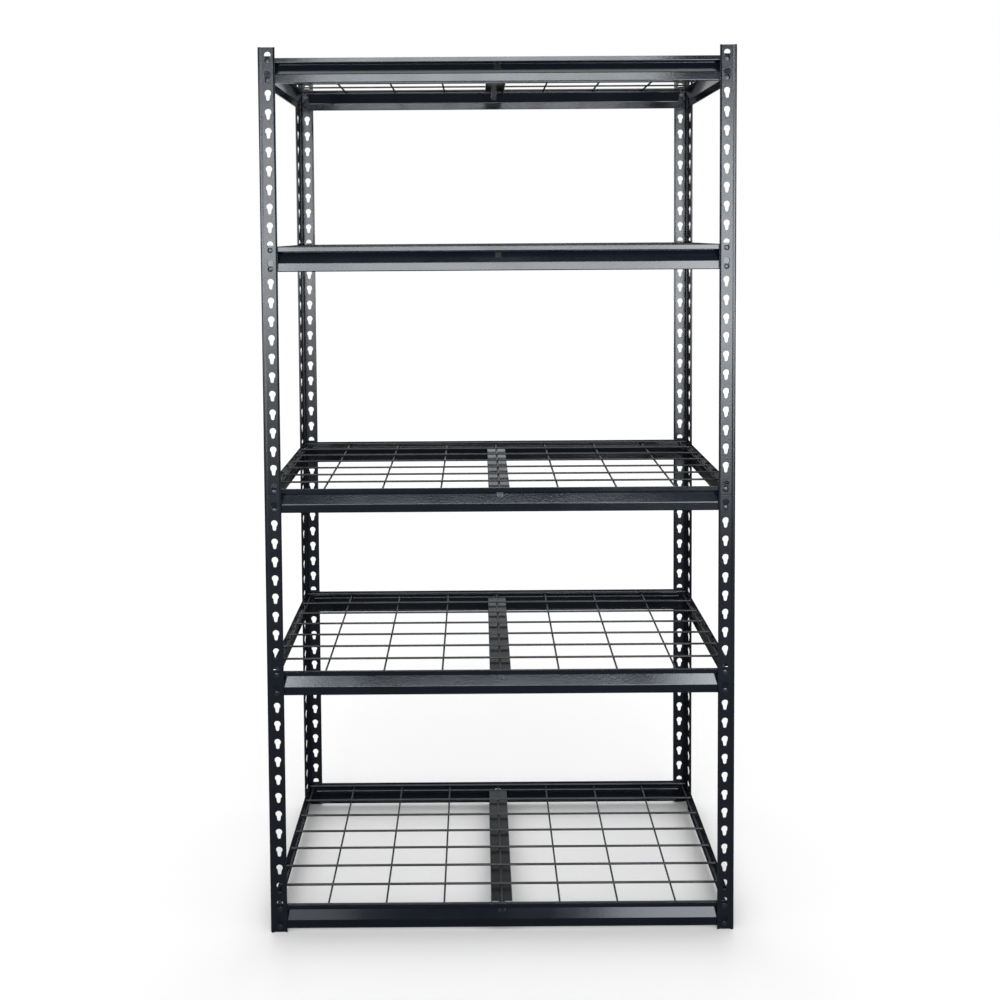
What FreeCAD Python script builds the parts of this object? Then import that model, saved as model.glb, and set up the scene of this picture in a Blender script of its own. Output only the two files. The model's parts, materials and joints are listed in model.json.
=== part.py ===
"""Boltless steel shelving: eight post halves and five shelves.

A shelf has four beams with rivet studs, a centre support and a loose wire deck.

Millimetres, +Z up, +X to the right and the front at -Y.
The origin is on the floor at the middle of the footprint.
"""
import FreeCAD, Part
import math
import os
import Sketcher
from FreeCAD import Placement, Rotation, Vector

doc = FreeCAD.newDocument("BoltlessShelving")

# ---------------------------------------------------------------- driving dimensions
SIZES = {
    # whole rack
    "rack_width": 965,
    "rack_depth": 305,
    # posts: pressed angle with a raised bead along the corner and a flared lip on each edge
    "post_gauge": 1.5,
    "flange_width": 35,
    "corner_radius": 4,
    "bead_width": 6,
    "bead_slope": 2.5,
    "bead_step": 1.2,
    "lip_run": 4,
    "joint_gap": 0.8,
    # keyholes
    "key_pitch": 38.1,
    "keys_per_half": 24,
    "key_inset": 20,
    "key_head_radius": 6.75,
    "key_head_rise": 3.75,
    "key_neck": 9,
    "key_foot_radius": 3.5,
    "key_foot_drop": 11.5,
    # beams
    "beam_gauge": 1.2,
    "beam_height": 50,
    "rim_height": 8.8,
    "ledge_depth": 15.2,
    "band_height": 17.5,
    "return_lip": 4,
    "bend_radius": 0.8,
    "web_foot_radius": 3,
    "formed_inset": 26,
    "tab_inset": 10,
    "tab_rise": 3.8,
    "slot_width": 12.9,
    "slot_setback": 9.5,
    "slot_drop": 14,
    # rivets
    "rivet_radius": 3.4,
    "rivet_clearance": 0.05,
    "rivet_head_radius": 5.6,
    "rivet_head_edge": 0.6,
    "rivet_head_height": 1.8,
    "rivet_dome_x": 3.5,
    "rivet_dome_height": 1.46,
    "rivet_tail_radius": 4.6,
    "rivet_tail_height": 1.1,
    # centre support
    "support_gauge": 1.2,
    "support_top": 43,
    "support_width": 45,
    "support_drop": 14,
    "support_gap": 0.2,
    "end_tab_drop": 21,
    "neck_root": 2,
    "tongue_width": 12.5,
    "tongue_top": 11.7,
    "tongue_foot": 6,
    "tongue_gauge": 1.3,
    # wire deck
    "wire_diameter": 4,
    "weld_sink": 0.5,
    "long_wire_half": 476,
    "cross_wire_half": 147,
}

# The lowest of the two keyholes that each shelf hangs from, counted up from the floor.
SHELF_KEYS = {1: 46, 2: 36, 3: 23, 4: 13, 5: 0}

# Places of the deck's wires from its middle; each is used on both sides.
LONG_WIRE_PLACES = [20.7, 62.1, 103.5, 144.9]
CROSS_WIRE_PLACES = [0, 121.3, 242.6, 364, 468]

sheet = doc.addObject("Spreadsheet::Sheet", "Sizes")
for row, (alias, size) in enumerate(SIZES.items(), start=1):
    sheet.set(f"A{row}", alias)
    sheet.set(f"B{row}", str(size))
    sheet.setAlias(f"B{row}", alias)
doc.recompute()


class Size:
    """A length that knows its value and the spreadsheet expression that gives it."""

    def __init__(self, value, text):
        self.value = value
        self.text = text

    def join(self, sign, other, value):
        other_text = other.text if isinstance(other, Size) else repr(other)
        return Size(value, f"({self.text} {sign} {other_text})")

    def __add__(self, other):
        return self.join("+", other, self.value + number(other))

    def __sub__(self, other):
        return self.join("-", other, self.value - number(other))

    def __mul__(self, other):
        return self.join("*", other, self.value * number(other))

    def __truediv__(self, other):
        return self.join("/", other, self.value / number(other))

    def __neg__(self):
        return Size(-self.value, f"(0 - {self.text})")


def number(size):
    return size.value if isinstance(size, Size) else size


def cell(alias):
    return Size(float(sheet.get(alias)), f"Sizes.{alias}")


ZERO = Size(0.0, "0")
THROUGH = 4                                      # a cut of four sheet thicknesses goes right through

# Sizes that several parts share.
half_width = cell("rack_width") / 2
half_depth = cell("rack_depth") / 2
gauge = cell("post_gauge")
flange = cell("flange_width")
flange_back = cell("bead_step") + gauge          # from the outermost plane to the flange's inside
key_pitch = cell("key_pitch")
half_post = key_pitch * cell("keys_per_half")
joint_half_gap = cell("joint_gap") / 2
beam_gauge = cell("beam_gauge")
beam_height = cell("beam_height")
rim_height = cell("rim_height")
below_ledge = beam_height - rim_height           # from the ledge's top to the beam's bottom
ledge_depth = cell("ledge_depth")


# ---------------------------------------------------------------- sketching helpers
def bind(thing, prop, size):
    """Set a property from the sheet, so that it follows the driving dimensions."""
    thing.setExpression(prop, size.text)


def place(thing, x=ZERO, y=ZERO, z=ZERO, turn=0):
    thing.Placement = Placement(Vector(x.value, y.value, z.value), Rotation(Vector(0, 0, 1), turn))
    bind(thing, "Placement.Base.x", x)
    bind(thing, "Placement.Base.y", y)
    bind(thing, "Placement.Base.z", z)


def origin_feature(body, role):
    return next(item for item in body.Origin.OriginFeatures if item.Role == role)


def new_sketch(body, name, plane):
    sketch = body.newObject("Sketcher::SketchObject", name)
    sketch.AttachmentSupport = [(origin_feature(body, plane), "")]
    sketch.MapMode = "FlatFace"
    return sketch


def hold(sketch, kind, size, *places):
    """Add a dimension to the sketch and bind it to the sheet."""
    index = sketch.addConstraint(Sketcher.Constraint(kind, *places, size.value))
    sketch.setExpression(f"Constraints[{index}]", size.text)


def hold_point(sketch, edge, end, point):
    hold(sketch, "DistanceX", point[0], edge, end)
    hold(sketch, "DistanceY", point[1], edge, end)


def flat(point):
    return Vector(point[0].value, point[1].value, 0)


def draw_outline(sketch, corners):
    """Draw a closed outline, with every corner held by dimensions.

    A corner is (x, y), or (x, y, centre, turn) where an arc round the centre leads on from it,
    anticlockwise for a turn of 1 and clockwise for -1.
    """
    count = len(corners)
    starts = []
    ends = []
    for index, corner in enumerate(corners):
        following = corners[(index + 1) % count]
        if len(corner) == 2:
            edge = sketch.addGeometry(Part.LineSegment(flat(corner), flat(following)))
            starts.append((edge, 1))
            ends.append((edge, 2))
            continue
        centre, turn = corner[2], corner[3]
        edge = sketch.addGeometry(arc_between(flat(corner), flat(following), flat(centre), turn))
        starts.append((edge, 1) if turn > 0 else (edge, 2))
        ends.append((edge, 2) if turn > 0 else (edge, 1))
        hold_point(sketch, edge, 3, centre)
    for index, corner in enumerate(corners):
        sketch.addConstraint(Sketcher.Constraint("Coincident", *ends[index - 1], *starts[index]))
        for kind in free_directions(corners[index - 1], corner):
            hold(sketch, kind, corner[0 if kind == "DistanceX" else 1], *starts[index])


def free_directions(previous, corner):
    """An arc's end is already at its radius, so one dimension across the radius holds it."""
    if len(previous) == 2:
        return ["DistanceX", "DistanceY"]
    spoke = flat(corner) - flat(previous[2])
    return ["DistanceY"] if abs(spoke.x) > abs(spoke.y) else ["DistanceX"]


def arc_between(start, end, centre, turn):
    radius = (start - centre).Length
    start_angle = math.atan2(start.y - centre.y, start.x - centre.x)
    end_angle = math.atan2(end.y - centre.y, end.x - centre.x)
    if turn < 0:
        start_angle, end_angle = end_angle, start_angle
    return Part.ArcOfCircle(Part.Circle(centre, Vector(0, 0, 1), radius), start_angle, end_angle)


def draw_rectangle(sketch, left, bottom, right, top):
    draw_outline(sketch, [(left, bottom), (right, bottom), (right, top), (left, top)])


def draw_circle(sketch, centre, radius):
    edge = sketch.addGeometry(Part.Circle(flat(centre), Vector(0, 0, 1), radius.value))
    hold_point(sketch, edge, 3, centre)
    hold(sketch, "Radius", radius, edge)


def extrude(body, kind, name, sketch, length, side="One side", reverse=False):
    """Add a Pad or Pocket, and make sure that it really added or took material."""
    before = body.Shape.Volume if body.Tip else 0
    feature = body.newObject(f"PartDesign::{kind}", name)
    feature.Profile = sketch
    feature.SideType = side
    feature.Reversed = reverse
    bind(feature, "Length", length)
    doc.recompute()
    change = body.Shape.Volume - before
    if (change <= 0) if kind == "Pad" else (change >= 0):
        raise RuntimeError(f"{body.Label}: {name} changed nothing")
    return feature


# ---------------------------------------------------------------- posts
def angle_outline():
    """The post's section: two equal flanges, each with a bead by the corner and a flared lip."""
    corner = cell("corner_radius")
    bead = cell("bead_width")
    step_end = bead + cell("bead_slope")
    step = cell("bead_step")
    lip = flange - cell("lip_run")
    centre = (corner, corner)
    outer = [(bead, ZERO), (step_end, step), (lip, step), (flange, ZERO)]
    inner = [(flange, gauge), (lip, flange_back), (step_end, flange_back), (bead, gauge)]
    there = outer + inner
    back = [(y, x) for x, y in reversed(there)]
    inner_arc = (corner, gauge, centre, -1)
    outer_arc = (ZERO, corner, centre, 1)
    return there + [inner_arc, (gauge, corner)] + back + [outer_arc, (corner, ZERO)]


def keyhole_outline(across):
    """One keyhole at its lowest place: a round head that narrows into a rounded foot."""
    middle = key_pitch / 2
    head = (across, middle + cell("key_head_rise"))
    foot_radius = cell("key_foot_radius")
    foot = (across, middle - cell("key_foot_drop") + foot_radius)
    head_radius = cell("key_head_radius")
    half_neck = cell("key_neck") / 2
    reach = math.sqrt(head_radius.value ** 2 - half_neck.value ** 2)
    reach_text = f"sqrt({head_radius.text} * {head_radius.text} - {half_neck.text} * {half_neck.text})"
    neck = head[1] - Size(reach, reach_text)
    return [
        (across + half_neck, neck, head, 1),
        (across - half_neck, neck),
        (across - foot_radius, foot[1], foot, 1),
        (across + foot_radius, foot[1]),
    ]


def cut_keyholes(body, name, plane):
    """A column of keyholes through the flange that lies on the given plane."""
    sketch = new_sketch(body, f"{name}_keyhole", plane)
    draw_outline(sketch, keyhole_outline(cell("key_inset")))
    pocket = extrude(body, "Pocket", f"{name}_key", sketch, flange_back * THROUGH, side="Symmetric")
    column = body.newObject("PartDesign::LinearPattern", f"{name}_column")
    column.Originals = [pocket]
    column.Direction = (origin_feature(body, "Z_Axis"), [""])
    column.Mode = "Spacing"
    bind(column, "Offset", key_pitch)
    bind(column, "Occurrences", cell("keys_per_half"))
    one_hole = body.Shape.Volume
    body.Tip = column
    doc.recompute()
    if body.Shape.Volume >= one_hole:
        raise RuntimeError(f"{body.Label}: {name} column was not repeated")


def make_post(label, x, y, z, turn, start):
    """Half a post, cut from the given start height so that the halves leave a fine gap."""
    body = doc.addObject("PartDesign::Body", label)
    section = new_sketch(body, "angle", "XY_Plane")
    bind(section, "AttachmentOffset.Base.z", start)
    draw_outline(section, angle_outline())
    extrude(body, "Pad", "length", section, half_post - joint_half_gap)
    cut_keyholes(body, "first", "XZ_Plane")
    cut_keyholes(body, "second", "YZ_Plane")
    place(body, x, y, z, turn)
    return body


def make_posts():
    corners = {
        "front_left": (-half_width, -half_depth, 0),
        "front_right": (half_width, -half_depth, 90),
        "back_right": (half_width, half_depth, 180),
        "back_left": (-half_width, half_depth, 270),
    }
    posts = []
    for half, z, start in (("lower", ZERO, ZERO), ("upper", half_post, joint_half_gap)):
        for corner, (x, y, turn) in corners.items():
            posts.append(make_post(f"post_{corner}_{half}", x, y, z, turn, start))
    return posts


# ---------------------------------------------------------------- beams
def beam_outline():
    """The rolled section, seen along the beam: x runs inwards and y up from the ledge's top."""
    front_of_web = below_ledge - cell("band_height")
    ledge = ledge_depth
    lip = cell("return_lip")
    outside = [
        (ZERO, rim_height),
        (ZERO, -beam_gauge),
        (ledge - beam_gauge, -beam_gauge),
        (ZERO, -front_of_web),
        (ZERO, -below_ledge),
        (lip, -below_ledge),
    ]
    inside = [
        (lip, beam_gauge - below_ledge),
        (beam_gauge, beam_gauge - below_ledge),
        (beam_gauge, -front_of_web),
        (ledge, ZERO),
        (beam_gauge, ZERO),
        (beam_gauge, rim_height),
    ]
    return outside + inside


def bend_edges(shape, places):
    """Names of the long edges that run through the given (y, z) places of the section."""
    names = []
    for index, edge in enumerate(shape.Edges, start=1):
        middle = edge.CenterOfMass
        along_x = abs(edge.tangentAt(edge.FirstParameter).x) > 0.999
        if along_x and any(math.hypot(middle.y - y, middle.z - z) < 0.01 for y, z in places):
            names.append(f"Edge{index}")
    if len(names) != len(places):
        raise RuntimeError("a bend of the beam was not found")
    return names


def round_bends(body, name, radius, places):
    base = body.Tip
    fillet = body.newObject("PartDesign::Fillet", name)
    fillet.Base = (base, bend_edges(base.Shape, [(y.value, z.value) for y, z in places]))
    bind(fillet, "Radius", radius)
    doc.recompute()


def round_all_bends(body):
    """Round both sides of the sheet at the rim, the ledge's edge, the web's foot and the lip."""
    web_foot = cell("band_height") - below_ledge
    bend = cell("bend_radius")
    foot_bend = cell("web_foot_radius")
    under_ledge = (ledge_depth - beam_gauge, -beam_gauge)
    inside = [(beam_gauge, ZERO), under_ledge, (beam_gauge, beam_gauge - below_ledge)]
    outside = [(ZERO, -beam_gauge), (ledge_depth, ZERO), (ZERO, -below_ledge)]
    round_bends(body, "inner_bends", bend, inside)
    round_bends(body, "outer_bends", bend + beam_gauge, outside)
    round_bends(body, "web_foot_outside", foot_bend, [(ZERO, web_foot)])
    round_bends(body, "web_foot_inside", foot_bend + beam_gauge, [(beam_gauge, web_foot)])


def make_beam(label, half_length, x, y, z, turn, slotted):
    """A beam between two posts. Its flat end tabs pass behind the posts' flanges."""
    body = doc.addObject("PartDesign::Body", label)
    profile = new_sketch(body, "section", "YZ_Plane")
    draw_outline(profile, beam_outline())
    formed_half = half_length - cell("formed_inset")
    extrude(body, "Pad", "formed_length", profile, formed_half * 2, side="Symmetric")
    round_all_bends(body)

    tab_end = half_length - cell("tab_inset")
    tab_top = rim_height + cell("tab_rise")
    for side, sign in (("left", -1), ("right", 1)):
        tab = new_sketch(body, f"{side}_tab_outline", "XZ_Plane")
        near, far = formed_half * sign, tab_end * sign
        if sign < 0:
            near, far = far, near
        draw_rectangle(tab, near, -below_ledge, far, tab_top)
        extrude(body, "Pad", f"{side}_tab", tab, beam_gauge, reverse=True)

    holes = new_sketch(body, "rivet_holes", "XZ_Plane")
    hole_radius = cell("rivet_radius") + cell("rivet_clearance")
    hole_x = half_length - cell("key_inset")
    middle = rim_height - beam_height / 2
    for across in (-hole_x, hole_x):
        for up in (middle - key_pitch / 2, middle + key_pitch / 2):
            draw_circle(holes, (across, up), hole_radius)
    extrude(body, "Pocket", "rivet_hole_pocket", holes, beam_gauge * THROUGH, side="Symmetric")

    if slotted:
        half_slot = cell("slot_width") / 2
        ledge_slot = new_sketch(body, "ledge_slot_outline", "XY_Plane")
        draw_rectangle(ledge_slot, -half_slot, cell("slot_setback"), half_slot, ledge_depth + beam_gauge)
        extrude(body, "Pocket", "ledge_slot", ledge_slot, beam_gauge)
        web_slot = new_sketch(body, "web_slot_outline", "XZ_Plane")
        draw_rectangle(web_slot, -half_slot, -cell("slot_drop"), half_slot, -beam_gauge)
        extrude(body, "Pocket", "web_slot", web_slot, ledge_depth + beam_gauge)
    place(body, x, y, z, turn)
    return body


def shelf_top(shelf):
    """Rim height of a shelf. Its upper rivets rest in the feet of the keyholes."""
    lower_hole = key_pitch * (SHELF_KEYS[shelf] + 0.5)
    lower_rivet = lower_hole - cell("key_foot_drop") + cell("key_foot_radius")
    return lower_rivet + key_pitch / 2 + beam_height / 2


def make_beams(shelf):
    z = shelf_top(shelf) - rim_height
    front = half_depth - flange_back
    side = half_width - flange_back
    return [
        make_beam(f"shelf_{shelf}_beam_front", half_width, ZERO, -front, z, 0, True),
        make_beam(f"shelf_{shelf}_beam_back", half_width, ZERO, front, z, 180, True),
        make_beam(f"shelf_{shelf}_beam_left", half_depth, -side, ZERO, z, 270, False),
        make_beam(f"shelf_{shelf}_beam_right", half_depth, side, ZERO, z, 90, False),
    ]


# ---------------------------------------------------------------- rivets
def rivet_shape():
    """One rivet, its axis along +Y from the flange's outer face (y = 0) into the rack."""
    shank = float(sheet.get("rivet_radius"))
    head = float(sheet.get("rivet_head_radius"))
    edge = float(sheet.get("rivet_head_edge"))
    height = float(sheet.get("rivet_head_height"))
    tail = float(sheet.get("rivet_tail_radius"))
    grip = gauge.value + beam_gauge.value
    tail_end = grip + float(sheet.get("rivet_tail_height"))
    dome_middle = Vector(float(sheet.get("rivet_dome_x")), -float(sheet.get("rivet_dome_height")), 0)
    dome = Part.Arc(Vector(0, -height, 0), dome_middle, Vector(head, -edge, 0)).toShape()
    corners = [
        (head, -edge),
        (head, 0),
        (shank, 0),
        (shank, grip),
        (tail, grip),
        (tail, tail_end),
        (0, tail_end),
        (0, -height),
    ]
    points = [Vector(x, y, 0) for x, y in corners]
    lines = [Part.LineSegment(a, b).toShape() for a, b in zip(points, points[1:])]
    face = Part.Face(Part.Wire([dome] + lines))
    return face.revolve(Vector(0, 0, 0), Vector(0, 1, 0), 360)


def make_rivets(shelf):
    """The sixteen rivets of one shelf, two at each end of each beam."""
    rivet = rivet_shape()
    inset = float(sheet.get("key_inset"))
    step = float(sheet.get("bead_step"))
    reach_x = half_width.value - inset
    reach_y = half_depth.value - inset
    solids = []
    for turn in (0, 90, 180, 270):
        facing_y = turn in (0, 180)
        along = reach_x if facing_y else reach_y
        out = (half_depth if facing_y else half_width).value - step
        for across in (-along, along):
            for up in (-key_pitch.value / 2, key_pitch.value / 2):
                copy = rivet.copy()
                copy.translate(Vector(across, -out, up))
                copy.rotate(Vector(0, 0, 0), Vector(0, 0, 1), turn)
                solids.append(copy)
    group = doc.addObject("Part::Feature", f"shelf_{shelf}_rivets")
    group.Shape = Part.makeCompound(solids)
    place(group, z=shelf_top(shelf) - beam_height / 2)
    return group


# ---------------------------------------------------------------- centre supports
def support_outline():
    """A channel that opens downwards, with sloping sides: x across and y up from its top."""
    top = cell("support_top") / 2
    foot = cell("support_width") / 2
    drop = cell("support_drop")
    sheet_gauge = cell("support_gauge")
    return [
        (-top, ZERO),
        (-foot, -drop),
        (sheet_gauge - foot, -drop),
        (sheet_gauge - top, -sheet_gauge),
        (top - sheet_gauge, -sheet_gauge),
        (foot - sheet_gauge, -drop),
        (foot, -drop),
        (top, ZERO),
    ]


def add_end(body, name, sign, outline):
    """A bent-sheet piece at one end of the support, from its (y, z) outline for the back end."""
    sketch = new_sketch(body, f"{name}_outline", "YZ_Plane")
    draw_outline(sketch, [(y * sign, z) for y, z in outline])
    extrude(body, "Pad", name, sketch, cell("tongue_width"), side="Symmetric")


def rectangle(near, bottom, far, top):
    return [(near, bottom), (far, bottom), (far, top), (near, top)]


def make_support(shelf):
    """A channel between the ledges. At each end a tab is turned down behind the beam's slot.

    A neck passes through the ledge, and its sloping tongue stands on the slot's lower edge.
    """
    body = doc.addObject("PartDesign::Body", f"shelf_{shelf}_centre_support")
    sheet_gauge = cell("support_gauge")
    reach = half_depth - flange_back
    half_length = reach - ledge_depth - cell("support_gap")
    tip = reach - cell("tongue_top")
    foot = reach - cell("tongue_foot")
    foot_level = -cell("slot_drop")
    tongue_gauge = cell("tongue_gauge")          # the sheet's thickness across, on the slope
    profile = new_sketch(body, "section", "XZ_Plane")
    draw_outline(profile, support_outline())
    extrude(body, "Pad", "channel", profile, half_length * 2, side="Symmetric")
    tab = rectangle(half_length - sheet_gauge, -cell("end_tab_drop"), half_length, ZERO)
    neck = rectangle(half_length - cell("neck_root"), -sheet_gauge, tip, ZERO)
    tongue = [(tip - tongue_gauge, ZERO), (foot - tongue_gauge, foot_level), (foot, foot_level), (tip, ZERO)]
    for end, sign in (("front", -1), ("back", 1)):
        add_end(body, f"{end}_tab", sign, tab)
        add_end(body, f"{end}_neck", sign, neck)
        add_end(body, f"{end}_tongue", sign, tongue)
    place(body, z=shelf_top(shelf) - rim_height)
    return body


# ---------------------------------------------------------------- wire decks
def make_wire(name, half_length, turn_axis, across, z):
    """A straight wire through the point given across the deck, centred on its length."""
    wire = doc.addObject("Part::Cylinder", name)
    bind(wire, "Radius", cell("wire_diameter") / 2)
    bind(wire, "Height", half_length * 2)
    if turn_axis == "x":
        start = Vector(-half_length.value, across, z)
        wire.Placement = Placement(start, Rotation(Vector(0, 1, 0), 90))
    else:
        start = Vector(across, half_length.value, z)
        wire.Placement = Placement(start, Rotation(Vector(1, 0, 0), 90))
    return wire


def both_sides(distances):
    return sorted({side * distance for distance in distances for side in (-1, 1)})


def make_deck(shelf):
    """Cross wires rest on the ledges; the long wires are welded on top of them."""
    cross_z = number(cell("wire_diameter") / 2)
    long_z = cross_z + number(cell("wire_diameter") - cell("weld_sink"))
    wires = []
    for index, across in enumerate(both_sides(LONG_WIRE_PLACES)):
        name = f"deck_{shelf}_long_{index}"
        wires.append(make_wire(name, cell("long_wire_half"), "x", across, long_z))
    for index, across in enumerate(both_sides(CROSS_WIRE_PLACES)):
        name = f"deck_{shelf}_cross_{index}"
        wires.append(make_wire(name, cell("cross_wire_half"), "y", across, cross_z))
    deck = doc.addObject("Part::MultiFuse", f"shelf_{shelf}_wire_deck")
    deck.Shapes = wires
    deck.Refine = False
    place(deck, z=shelf_top(shelf) - rim_height)
    return deck


# ---------------------------------------------------------------- the whole rack
subparts = make_posts()
for shelf in SHELF_KEYS:
    subparts += make_beams(shelf)
    subparts.append(make_rivets(shelf))
    subparts.append(make_support(shelf))
    subparts.append(make_deck(shelf))
doc.recompute()

for thing in doc.Objects:
    if "Invalid" in thing.State or "Error" in thing.State:
        raise RuntimeError(f"{thing.Label} failed: {thing.State}")
for subpart in subparts:
    if subpart.Shape.isNull() or not subpart.Shape.isValid():
        raise RuntimeError(f"{subpart.Label} has no valid shape")

os.makedirs("parts", exist_ok=True)
for subpart in subparts:
    subpart.Shape.exportStep(f"parts/{subpart.Label}.step")
    print(f"{subpart.Label}: {len(subpart.Shape.Solids)} solid(s), {subpart.Shape.Volume:.0f} mm3")
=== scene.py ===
"""Studio scene for the boltless steel shelving: powder-coat finishes, soft light and the camera."""

import json
import math

import bpy
from mathutils import Matrix, Vector


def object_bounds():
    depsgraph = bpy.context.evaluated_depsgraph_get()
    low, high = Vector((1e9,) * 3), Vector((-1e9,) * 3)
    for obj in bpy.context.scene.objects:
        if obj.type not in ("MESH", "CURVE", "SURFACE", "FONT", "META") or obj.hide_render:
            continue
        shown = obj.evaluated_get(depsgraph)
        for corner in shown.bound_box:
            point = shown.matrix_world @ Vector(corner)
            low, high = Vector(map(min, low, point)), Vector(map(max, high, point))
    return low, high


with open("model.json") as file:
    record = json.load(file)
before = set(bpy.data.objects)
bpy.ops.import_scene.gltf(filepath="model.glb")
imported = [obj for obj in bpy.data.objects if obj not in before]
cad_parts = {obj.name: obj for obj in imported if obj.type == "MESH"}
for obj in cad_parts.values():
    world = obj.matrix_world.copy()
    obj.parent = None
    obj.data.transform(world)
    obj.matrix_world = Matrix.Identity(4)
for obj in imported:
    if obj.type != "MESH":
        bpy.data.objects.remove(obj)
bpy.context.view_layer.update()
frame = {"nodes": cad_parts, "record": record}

MM = 0.001
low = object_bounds()[0]
front_plane = low.y


# ---------------------------------------------------------------- camera
def make_camera():
    """Stands close in front of the rack, above its middle, and looks almost level."""
    distance = 1308 * MM
    bead_step = 1.2 * MM                         # the posts' flat faces lie this far behind the box
    off_centre = -42.6 * MM
    eye_height = 1454.5 * MM
    eye = Vector((off_centre, front_plane + bead_step - distance, eye_height))
    yaw, pitch, roll = (math.radians(angle) for angle in (0.03, -1.535, -0.377))
    forward = Vector((math.sin(yaw) * math.cos(pitch), math.cos(yaw) * math.cos(pitch), math.sin(pitch)))
    level = Vector((math.cos(yaw), -math.sin(yaw), 0))
    upright = level.cross(forward)
    right = math.cos(roll) * level + math.sin(roll) * upright
    up = right.cross(forward)
    turn = Matrix((right, up, -forward)).transposed()
    data = bpy.data.cameras.new("camera")
    data.sensor_width = 36
    data.lens = 23.27
    data.shift_x = 0.0222
    data.shift_y = -0.2503
    data.clip_start = 0.05
    data.clip_end = 60
    camera = bpy.data.objects.new("camera", data)
    camera.matrix_world = Matrix.Translation(eye) @ turn.to_4x4()
    bpy.context.scene.collection.objects.link(camera)
    bpy.context.scene.camera = camera


# ---------------------------------------------------------------- materials
def add_node(tree, kind, inputs=None, **settings):
    """One shader node, with its settings and the values or links of its inputs."""
    node = tree.nodes.new(kind)
    for name, value in settings.items():
        setattr(node, name, value)
    for name, value in (inputs or {}).items():
        if isinstance(value, bpy.types.NodeSocket):
            tree.links.new(value, node.inputs[name])
        else:
            node.inputs[name].default_value = value
    return node


PEEL_SCALE = 300.0
MOTTLE_SCALE = 9.0
SPECK_SCALE = 260.0
PEEL_HEIGHT = 0.6 * MM
EDGE_RADIUS = 0.7 * MM
RUBBED_COLOUR = (0.10, 0.105, 0.115, 1)


def powder_coat(name, colour, roughness, peel=0.35, wear=0.3):
    """Semi-gloss black powder coat: orange peel, faint mottling and unevenly rubbed edges."""
    material = bpy.data.materials.new(name)
    material.use_nodes = True
    tree = material.node_tree
    shader = tree.nodes["Principled BSDF"]
    place = add_node(tree, "ShaderNodeTexCoord").outputs["Object"]

    peel_noise, broad_noise, speck_noise = (
        add_node(tree, "ShaderNodeTexNoise", {"Vector": place, "Scale": scale, "Detail": detail})
        for scale, detail in ((PEEL_SCALE, 2.5), (MOTTLE_SCALE, 4.0), (SPECK_SCALE, 3.0))
    )

    surface = add_node(tree, "ShaderNodeNewGeometry").outputs["Normal"]
    soft_edge = add_node(tree, "ShaderNodeBevel", {"Radius": EDGE_RADIUS}, samples=4).outputs["Normal"]
    agreement = add_node(tree, "ShaderNodeVectorMath", {0: surface, 1: soft_edge}, operation="DOT_PRODUCT")
    edge = add_node(
        tree, "ShaderNodeMapRange",
        {"Value": agreement.outputs["Value"], "From Min": 0.995, "From Max": 0.90,
         "To Min": 0.0, "To Max": 1.0},
    )
    rub = add_node(
        tree, "ShaderNodeMapRange",
        {"Value": speck_noise.outputs["Fac"], "From Min": 0.42, "From Max": 0.62,
         "To Min": 0.0, "To Max": wear},
    )
    worn = add_node(
        tree, "ShaderNodeMath", {0: edge.outputs["Result"], 1: rub.outputs["Result"]}, operation="MULTIPLY",
    )

    light = [min(1.0, channel * 1.35 + 0.002) for channel in colour]
    mottled = add_node(
        tree, "ShaderNodeMix",
        {0: broad_noise.outputs["Fac"], 6: (*colour, 1), 7: (*light, 1)}, data_type="RGBA",
    )
    painted = add_node(
        tree, "ShaderNodeMix",
        {0: worn.outputs["Value"], 6: mottled.outputs[2], 7: RUBBED_COLOUR}, data_type="RGBA",
    )
    gloss = add_node(
        tree, "ShaderNodeMapRange",
        {"Value": broad_noise.outputs["Fac"], "From Min": 0.3, "From Max": 0.7,
         "To Min": roughness - 0.03, "To Max": roughness + 0.04},
    )
    bump = add_node(
        tree, "ShaderNodeBump",
        {"Height": peel_noise.outputs["Fac"], "Strength": peel, "Distance": PEEL_HEIGHT, "Normal": soft_edge},
    )
    tree.links.new(painted.outputs[2], shader.inputs["Base Color"])
    tree.links.new(gloss.outputs["Result"], shader.inputs["Roughness"])
    tree.links.new(bump.outputs["Normal"], shader.inputs["Normal"])
    shader.inputs["IOR"].default_value = 1.5
    shader.inputs["Specular IOR Level"].default_value = 0.5
    return material


FINISHES = {
    "post_powder_coat": powder_coat("post_coat", (0.0035, 0.0050, 0.0080), 0.28),
    "beam_powder_coat": powder_coat("beam_coat", (0.0030, 0.0045, 0.0075), 0.155, peel=0.2),
    "support_powder_coat": powder_coat("support_coat", (0.0070, 0.0080, 0.0085), 0.27),
    "wire_coating": powder_coat("wire_coat", (0.0060, 0.0065, 0.0080), 0.36, peel=0.06, wear=0.15),
    "rivet_steel": powder_coat("rivet_coat", (0.0100, 0.0110, 0.0140), 0.26, wear=0.5),
}


def finish_nodes():
    """Give each CAD node the finish of its material slot in the record."""
    for entry in frame["record"]["subparts"]:
        piece = frame["nodes"][entry["node"]]
        piece.data.materials.clear()
        piece.data.materials.append(FINISHES[entry["material_slot"]])


# ---------------------------------------------------------------- floor and light
FLOOR_SEEN, FLOOR_REFLECTED = 0.88, 0.085
SKY_SEEN, SKY_REFLECTED = 1.0, 0.045
def camera_only(tree, seen, unseen):
    """A value that is 'seen' where the camera looks and 'unseen' in reflections and bounces."""
    path = add_node(tree, "ShaderNodeLightPath").outputs["Is Camera Ray"]
    choice = add_node(
        tree, "ShaderNodeMapRange",
        {"Value": path, "From Min": 0.0, "From Max": 1.0, "To Min": unseen, "To Max": seen},
    )
    return choice.outputs["Result"]


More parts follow.
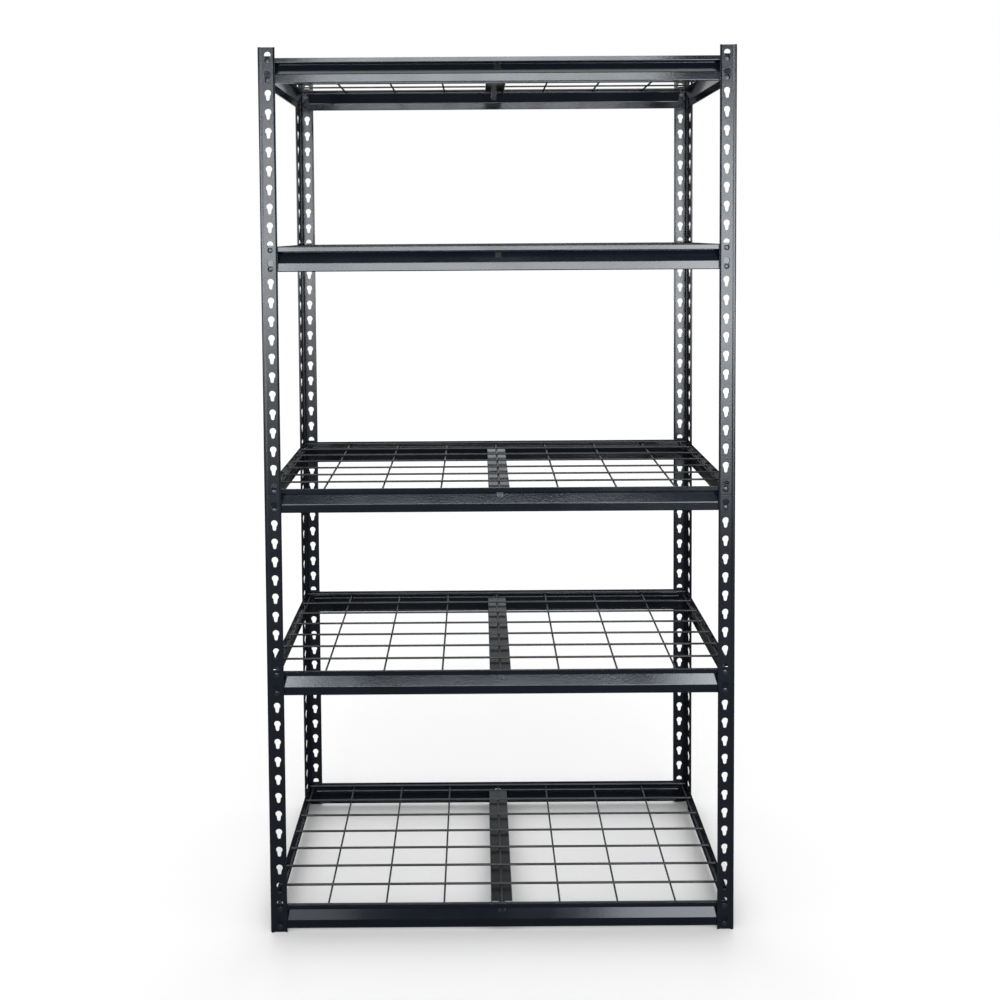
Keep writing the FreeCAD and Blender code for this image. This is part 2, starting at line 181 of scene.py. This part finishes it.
def make_floor():
    """Plain pale floor, darker in reflections so that the low steel stays nearly black."""
    half = 12.0                                  # metres from the middle to each side
    mesh = bpy.data.meshes.new("floor")
    corners = [(-half, -half, 0), (half, -half, 0), (half, half, 0), (-half, half, 0)]
    mesh.from_pydata(corners, [], [(0, 1, 2, 3)])
    floor = bpy.data.objects.new("floor", mesh)
    floor.location.z = low.z
    material = bpy.data.materials.new("pale_floor")
    material.use_nodes = True
    tree = material.node_tree
    shader = tree.nodes["Principled BSDF"]
    pale = camera_only(tree, FLOOR_SEEN, FLOOR_REFLECTED)
    tree.links.new(pale, shader.inputs["Base Color"])
    shader.inputs["Roughness"].default_value = 0.9
    shader.inputs["Specular IOR Level"].default_value = 0.0
    mesh.materials.append(material)
    bpy.context.scene.collection.objects.link(floor)
    return floor


def light_group(name, floor, state):
    """A linking group for lights that light only the floor (INCLUDE) or all but the floor (EXCLUDE)."""
    group = bpy.data.collections.new(name)
    group.objects.link(floor)
    group.collection_objects[0].light_linking.link_state = state
    return group


# Softboxes: name, place, width and height in metres, and power in watts. Six stand in a ring round
# the camera; the rest fill the sides and the back.
SOFTBOXES = [
    ("left_column", (-1.25, -2.1, 1.50), 0.70, 1.20, 28),
    ("right_column", (1.28, -2.1, 1.40), 0.65, 1.40, 35),
    ("top_bar", (0.00, -2.1, 2.26), 1.80, 0.34, 21),
    ("bottom_bar", (0.05, -2.1, 1.27), 1.80, 0.44, 25),
    ("low_left", (-1.05, -2.1, 0.60), 0.90, 0.50, 2.4),
    ("low_right", (1.05, -2.1, 0.62), 1.10, 0.60, 14),
    ("left_fill", (-2.5, 0.4, 1.30), 1.60, 1.80, 14),
    ("right_fill", (2.5, 0.4, 1.30), 1.60, 1.80, 14),
    ("back_fill", (0.0, 2.6, 1.40), 2.60, 1.60, 26),
    ("back_left_fill", (-2.4, 2.2, 1.10), 1.50, 2.00, 24),
    ("back_right_fill", (2.4, 2.2, 1.10), 1.50, 2.00, 24),
]
LIGHT_COLOUR = (0.905, 0.957, 1.0)


def make_softbox(group, name, place, width, height, power):
    """An upright panel that lights everything but the floor.

    Panels in front face straight back; the others face the middle of the rack.
    """
    data = bpy.data.lights.new(name, "AREA")
    data.shape = "RECTANGLE"
    data.size = width
    data.size_y = height
    data.energy = power
    data.color = LIGHT_COLOUR
    facing = Vector((0, 1, 0)) if place[1] < 0 else Vector((-place[0], -place[1], 0))
    light = bpy.data.objects.new(name, data)
    light.location = place
    light.rotation_mode = "QUATERNION"
    light.rotation_quaternion = facing.to_track_quat("-Z", "Y")
    light.visible_camera = False
    light.light_linking.receiver_collection = group
    bpy.context.scene.collection.objects.link(light)


def make_overhead(group, name, strength, spread):
    """Broad light from straight above, as from a large ceiling panel."""
    data = bpy.data.lights.new(name, "SUN")
    data.energy = strength
    data.angle = math.radians(spread)
    light = bpy.data.objects.new(name, data)
    light.location = (0, 0, 4)
    light.light_linking.receiver_collection = group
    bpy.context.scene.collection.objects.link(light)


def make_studio(floor):
    """White surroundings, overhead light for the floor and the rack apart, and the softboxes."""
    world = bpy.data.worlds.new("studio")
    world.use_nodes = True
    background = world.node_tree.nodes["Background"]
    background.inputs["Color"].default_value = (1, 1, 1, 1)
    strength = camera_only(world.node_tree, SKY_SEEN, SKY_REFLECTED)
    world.node_tree.links.new(strength, background.inputs["Strength"])
    bpy.context.scene.world = world
    on_floor = light_group("light_on_floor", floor, "INCLUDE")
    on_rack = light_group("light_on_rack", floor, "EXCLUDE")
    make_overhead(on_floor, "floor_overhead", 3.72, 125)
    make_overhead(on_rack, "rack_overhead", 1.5, 50)
    for softbox in SOFTBOXES:
        make_softbox(on_rack, *softbox)
    bpy.context.scene.view_settings.view_transform = "Standard"


make_camera()
finish_nodes()
make_studio(make_floor())
